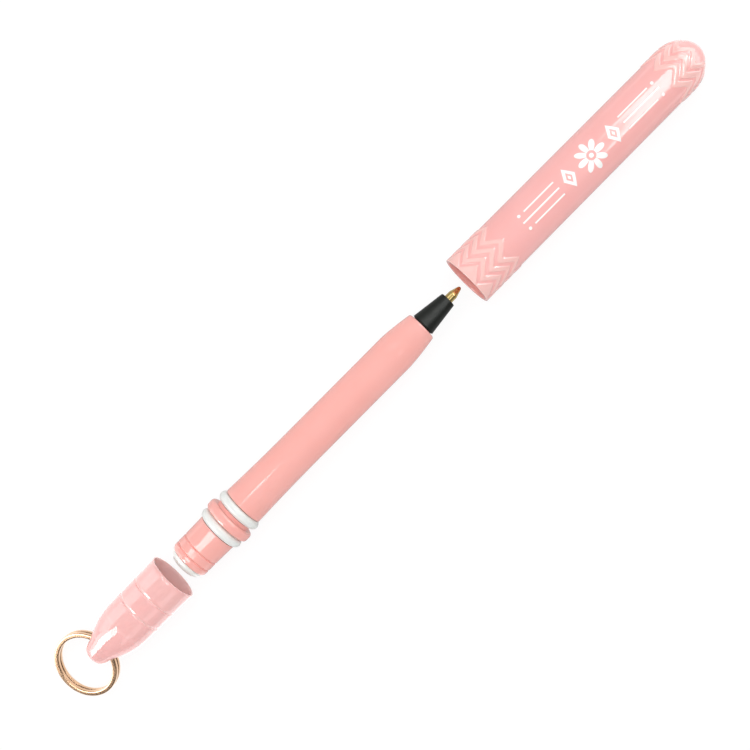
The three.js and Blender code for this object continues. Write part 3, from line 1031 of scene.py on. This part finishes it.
def key_drill():
    """The cross hole as a solid, flared where it leaves the key cap's wall"""
    mesh = bmesh.new()
    levels = []
    hole_x = COLLAR_X + (KEY_CAP_MOUTH - HOLE_FROM_MOUTH) * MM
    flare = [
        (HOLE_FLARE * (1 - math.sin(turn)), HOLE_FLARE * (1 - math.cos(turn)))
        for turn in [math.radians(FLARE_DEGREES) * share for share in shares(FLARE_STEPS)]
    ]
    flare += [(-DRILL_LEAD, flare[-1][1] + DRILL_WIDENING)]
    for sign in (-1, 1):
        side_levels = []
        for depth, wider in flare:
            ring = []
            radius = HOLE_RADIUS + wider
            for side in range(HOLE_SIDES):
                angle = side / HOLE_SIDES * TURN
                ahead = radius * math.cos(angle)
                up = radius * math.sin(angle)
                wall = radius_at(HOLE_FROM_MOUTH - ahead)
                surface = math.sqrt(wall ** 2 - up ** 2)
                ring.append(mesh.verts.new((
                    hole_x + ahead * MM,
                    sign * (surface - depth) * MM,
                    AXIS_Z + up * MM,
                )))
            side_levels.append(ring)
        levels += reversed(side_levels) if sign < 0 else side_levels
    for ring, following in zip(levels, levels[1:]):
        bridge(mesh, ring, following)
    mesh.faces.new(levels[0])
    mesh.faces.new(levels[-1])
    bmesh.ops.recalc_face_normals(mesh, faces=mesh.faces)
    return shown_mesh("key_drill", mesh)


def make_key_cap():
    straight = KEY_CAP_LENGTH - OGIVE_LENGTH
    lines = [
        point for mark in KEY_LINES
        for point in chamfer_line(mark, mix(KEY_CAP_MOUTH_RADIUS, KEY_CAP_WAIST_RADIUS, mark / straight))
    ]
    inside = rounded([
        (KEY_CAVITY, 0, 0),
        (KEY_CAVITY, KEY_CAVITY_RADIUS, KEY_CAVITY_ROUND),
        (KEY_SEAT + KEY_SEAT_SLOPE, KEY_CAVITY_RADIUS, KEY_SEAT_ROUND),
        (KEY_SEAT, KEY_CAP_BORE, KEY_SEAT_ROUND),
        (KEY_CAP_EDGE, KEY_CAP_BORE, 0),
    ])
    outline = spaced([
        *inside,
        (0, KEY_CAP_BORE + KEY_CAP_EDGE),
        *quarter(0, KEY_CAP_MOUTH_RADIUS - KEY_CAP_EDGE, KEY_CAP_EDGE, KEY_CAP_MOUTH_RADIUS, EDGE_STEPS),
        *lines,
        *key_cap_profile(),
    ], longest=0.7)
    outline[-1] = (outline[-1][0], 0)
    mesh = plain([(KEY_CAP_MOUTH - station, radius) for station, radius in outline])
    piece = piece_from(
        "key_cap_shell", mesh, "key_cap", "key_cap", key_cap_plastic(),
        smooth_degrees=KEY_CAP_SMOOTH_DEGREES,
    )
    drill = key_drill()
    cut = piece.modifiers.new("cross_hole", "BOOLEAN")
    cut.operation = "DIFFERENCE"
    cut.solver = "EXACT"
    cut.object = drill
    bpy.context.view_layer.update()
    drilled = bpy.data.meshes.new_from_object(piece.evaluated_get(bpy.context.evaluated_depsgraph_get()))
    piece.modifiers.clear()
    piece.data = drilled
    smoothed(drilled, KEY_CAP_SMOOTH_DEGREES)
    bpy.data.objects.remove(drill)


def make_split_ring():
    """Two turns of flat wire in one length, with the step where it passes from turn to turn"""
    hinge = next(joint for joint in frame["joints"] if joint["name"] == "ring_swing")["pos_m"]
    foot = RING_REACH + RING_RADIUS - WIRE_ROUND
    slope = math.asin(hinge[2] / MM / math.hypot(foot, RING_THICKNESS / 2))
    slope -= math.atan2(RING_THICKNESS / 2, foot)
    centre = Vector(hinge) + Vector((-math.cos(slope), 0, -math.sin(slope))) * RING_REACH * MM
    out = Vector((math.cos(slope), 0, math.sin(slope)))
    across = Vector((0, 1, 0))
    lift = Vector((-math.sin(slope), 0, math.cos(slope)))
    wide = WIRE_WIDTH / 2
    thick = WIRE_THICKNESS / 2
    section = rounded([
        (-wide, -thick, WIRE_ROUND),
        (wide, -thick, WIRE_ROUND),
        (wide, thick, WIRE_ROUND),
        (-wide, thick, WIRE_ROUND),
    ], loop=True)
    middle_radius = RING_RADIUS - wide
    whole = 720 - CROSSOVER_DEGREES
    mesh = bmesh.new()
    rings = []
    for share in shares(WIRE_STEPS):
        degrees = share * whole
        step = soft_step(min(1.0, max(0.0, (degrees - 360 + CROSSOVER_DEGREES) / CROSSOVER_DEGREES)))
        rise = (step - 0.5) * (WIRE_THICKNESS + COIL_GAP)
        angle = math.radians(degrees + WIRE_START)
        radial = out * math.cos(angle) + across * math.sin(angle)
        rings.append([
            mesh.verts.new(centre + (radial * (middle_radius + away) + lift * (rise + up)) * MM)
            for away, up in section
        ])
    for ring, following in zip(rings, rings[1:]):
        bridge(mesh, ring, following)
    mesh.faces.new(rings[0])
    mesh.faces.new(rings[-1])
    piece_from("key_ring", mesh, "key_ring", "split_ring", gold_plate())


def dress(node, finish):
    """Gives a CAD node that stays its own material"""
    shown = frame["nodes"][node]
    shown.data.materials.clear()
    shown.data.materials.append(finish)


# The camera looks straight down on the pen, which lies across the picture
CAMERA_X = -0.00161
CAMERA_Y = -0.00027
CAMERA_HEIGHT = 0.235
CAMERA_ROLL = 45.2
LENS = 54.7
SENSOR_WIDTH = 36
CLIP_START = 0.005


def make_camera():
    camera = bpy.data.objects.new("camera", bpy.data.cameras.new("camera"))
    camera.data.lens = LENS
    camera.data.sensor_width = SENSOR_WIDTH
    camera.data.clip_start = CLIP_START
    camera.location = (CAMERA_X, CAMERA_Y, AXIS_Z + CAMERA_HEIGHT)
    camera.rotation_euler = (0, 0, math.radians(-CAMERA_ROLL))
    bpy.context.scene.collection.objects.link(camera)
    bpy.context.scene.camera = camera


def ray_share(recipe):
    """1 on rays from the camera, from gloss and through glass, then 1 on those from gloss alone"""
    path = recipe.node("LightPath").socket.node.outputs
    seen, glossy, through = (
        Shade(recipe, path[name]) for name in ("Is Camera Ray", "Is Glossy Ray", "Is Transmission Ray")
    )
    return (seen + glossy + through).clipped(), glossy


# The table, in metres, how bright it is, and two brighter cards on it that only gloss shows
FLOOR_SIZE = 3.0
FLOOR_DROP = 0.00002
FLOOR_GLOW = 0.87
FLOOR_LIT = 0.15
FLOOR_BOUNCE = 0.8
FLOOR_IN_GLOSS = 0.45
KEY_CAP_CARD = ((-0.18, -0.058), (-0.035, 0.3))
DOME_CARD = ((0.094, 0.4), (-0.25, 0.25))
KEY_CAP_CARD_GLOW = 1.9
DOME_CARD_GLOW = 1.5
CARD_EDGE = 0.004


def on_card(recipe, where, spans):
    """1 on a brighter card on the table, which shows in gloss alone, and 0 off it"""
    beyond = [
        abs(along - (low + high) / 2) - (high - low) / 2
        for along, (low, high) in zip(recipe.axes(where), spans)
    ]
    return (0.5 - beyond[0].most(beyond[1]) / CARD_EDGE).clipped()


def grey(level):
    return (level, level, level, 1)


def make_floor():
    """A white table, most of whose brightness stays white under the object's soft shadow"""
    mesh = bmesh.new()
    corners = [(-1, -1), (1, -1), (1, 1), (-1, 1)]
    mesh.faces.new([
        mesh.verts.new((x * FLOOR_SIZE, y * FLOOR_SIZE, -FLOOR_DROP)) for x, y in corners
    ])
    floor = shown_mesh("floor", mesh)
    material = bpy.data.materials.new("white_table")
    recipe = Recipe(material)
    bounce = recipe.node("BsdfDiffuse", {}, {"Color": grey(FLOOR_BOUNCE)})
    lit = recipe.node("BsdfDiffuse", {}, {"Color": grey(FLOOR_LIT)})
    direct, glossy = ray_share(recipe)
    where = recipe.position()
    by_key_cap = on_card(recipe, where, KEY_CAP_CARD) * (KEY_CAP_CARD_GLOW - FLOOR_IN_GLOSS)
    past_dome = on_card(recipe, where, DOME_CARD) * (DOME_CARD_GLOW - FLOOR_IN_GLOSS)
    in_gloss = FLOOR_IN_GLOSS + by_key_cap + past_dome
    strength = FLOOR_GLOW + glossy * (in_gloss - FLOOR_GLOW)
    glow = recipe.node("Emission", {}, {"Color": grey(1), "Strength": strength})
    shown = recipe.node("AddShader", {}, {0: lit, 1: glow})
    both = recipe.node("MixShader", {}, {0: direct, 1: bounce, 2: shown})
    recipe.node("OutputMaterial", {}, {"Surface": both})
    floor.data.materials.append(material)


# The tent's brightness: on the colours, and in gloss from the dim sides up to overhead. It rises over
# these spans of a direction's height, sideways part and part along the pen
FILL = 0.74
DIM = 0.22
OVERHEAD = 0.55
DIM_BELOW = 0.5
DIM_SIDE = (-0.8, -0.1)
DIM_REAR = (-0.29, -0.21)


def make_world():
    """A white tent, which gloss shows as dim low down, on the near side and behind the key cap"""
    world = bpy.data.worlds.new("studio")
    bpy.context.scene.world = world
    recipe = Recipe(world)
    x, y, z = recipe.axes(recipe.node("TexCoord"))
    overhead = (z / DIM_BELOW).clipped()
    side = ((y - DIM_SIDE[0]) / (DIM_SIDE[1] - DIM_SIDE[0])).clipped()
    direct, glossy = ray_share(recipe)
    ahead = ((x - DIM_REAR[0]) / (DIM_REAR[1] - DIM_REAR[0])).clipped()
    in_gloss = DIM + overhead * side * ahead * (OVERHEAD - DIM)
    strength = FILL + direct * (1 - FILL) + glossy * (in_gloss - 1)
    shown = recipe.node("Background", {}, {"Color": grey(1), "Strength": strength})
    recipe.node("OutputWorld", {}, {"Surface": shown})


# How high the boxes for single highlights hang, in metres
BOX_HEIGHT = 0.51


def make_lamp(name, position, size, radiance, in_gloss, target=(0, 0, 0), lean=0):
    """A soft box, in metres, which shows in gloss alone or lights the colours alone"""
    data = bpy.data.lights.new(name, "AREA")
    data.shape = "RECTANGLE"
    data.size, data.size_y = size
    data.energy = radiance * math.pi * size[0] * size[1]
    lamp = bpy.data.objects.new(name, data)
    lamp.location = position
    aim = Vector(target) - Vector(position)
    turn = Quaternion((0, 0, 1), math.radians(lean))
    lamp.rotation_euler = (aim.to_track_quat("-Z", "Y") @ turn).to_euler()
    lamp.visible_camera = False
    lamp.visible_glossy = in_gloss
    lamp.visible_diffuse = not in_gloss
    bpy.context.scene.collection.objects.link(lamp)


def hang_box(name, x_span, y_span, radiance):
    """A box for one highlight, which faces straight down over a span of the table, in mm"""
    middle = [sum(span) / 2 * MM for span in (x_span, y_span)]
    size = [(span[1] - span[0]) * MM for span in (x_span, y_span)]
    make_lamp(name, (*middle, BOX_HEIGHT), size, radiance, True, (*middle, 0))


def make_lamps():
    """One light for the colours, and boxes that show only in gloss. Their places, sizes and
    strengths were fitted to where each highlight lies on the pieces and to how bright it is"""
    make_lamp("key_light", (0, 0.12, 0.54), (0.5, 0.5), 1.7, False)
    make_lamp("nose_box", (-0.36, 0.10, 0.24), (0.16, 0.32), 10.0, True, (-0.06, 0, 0.006))
    make_lamp("key_cap_wall", (-0.37, 0.45, 0.2), (0.35, 0.66), 3.3, True, (-0.37, 0, 0.2), -7.5)
    make_lamp("low_wall", (-0.355, -0.45, 0.36), (0.3, 0.33), 1.2, True, (-0.355, 0, 0.36), 7.5)
    make_lamp("corner_wall", (-0.58, 0.25, 0.26), (0.42, 0.54), 4.6, True, (0, 0.25, 0.26))
    make_lamp("dome_wall", (0.56, 0.05, 0.4), (0.8, 0.8), 4.0, True, (0, 0.05, 0.4))
    make_lamp("dome_box", (0.50, 0.0, 0.42), (0.12, 0.18), 10.0, True, (0.09, 0, 0.006))
    hang_box("cap_box", (231, 300), (-370, 240), 9.5)
    hang_box("spigot_box", (-192, -166.5), (-92, 400), 7.7)
    hang_box("barrel_box", (-83.6, -79.8), (100, 178), 14.0)
    hang_box("point_box", (50, 100), (-300, -120), 1.8)
    hang_box("cone_box", (40, 130), (150, 600), 0.9)


make_camera()
make_floor()
make_world()
make_lamps()

make_barrel()
rubber = seal_rubber()
make_seal_ring(
    "front_seal", "front_seal_ring", NECK_LENGTH + GROOVE_WIDTH / 2, FRONT_RING_RADIUS, rubber
)
make_seal_ring(
    "rear_seal", "rear_seal_ring", -COLLAR_WIDTH - GROOVE_WIDTH / 2, REAR_RING_RADIUS, rubber
)
make_plug()
make_cone()
make_tip()
make_ball()
make_cap()
make_key_cap()
make_split_ring()
dress("ink_tube", tube_plastic())
dress("ink", ink_paste())

bpy.context.scene.view_settings.view_transform = "Standard"
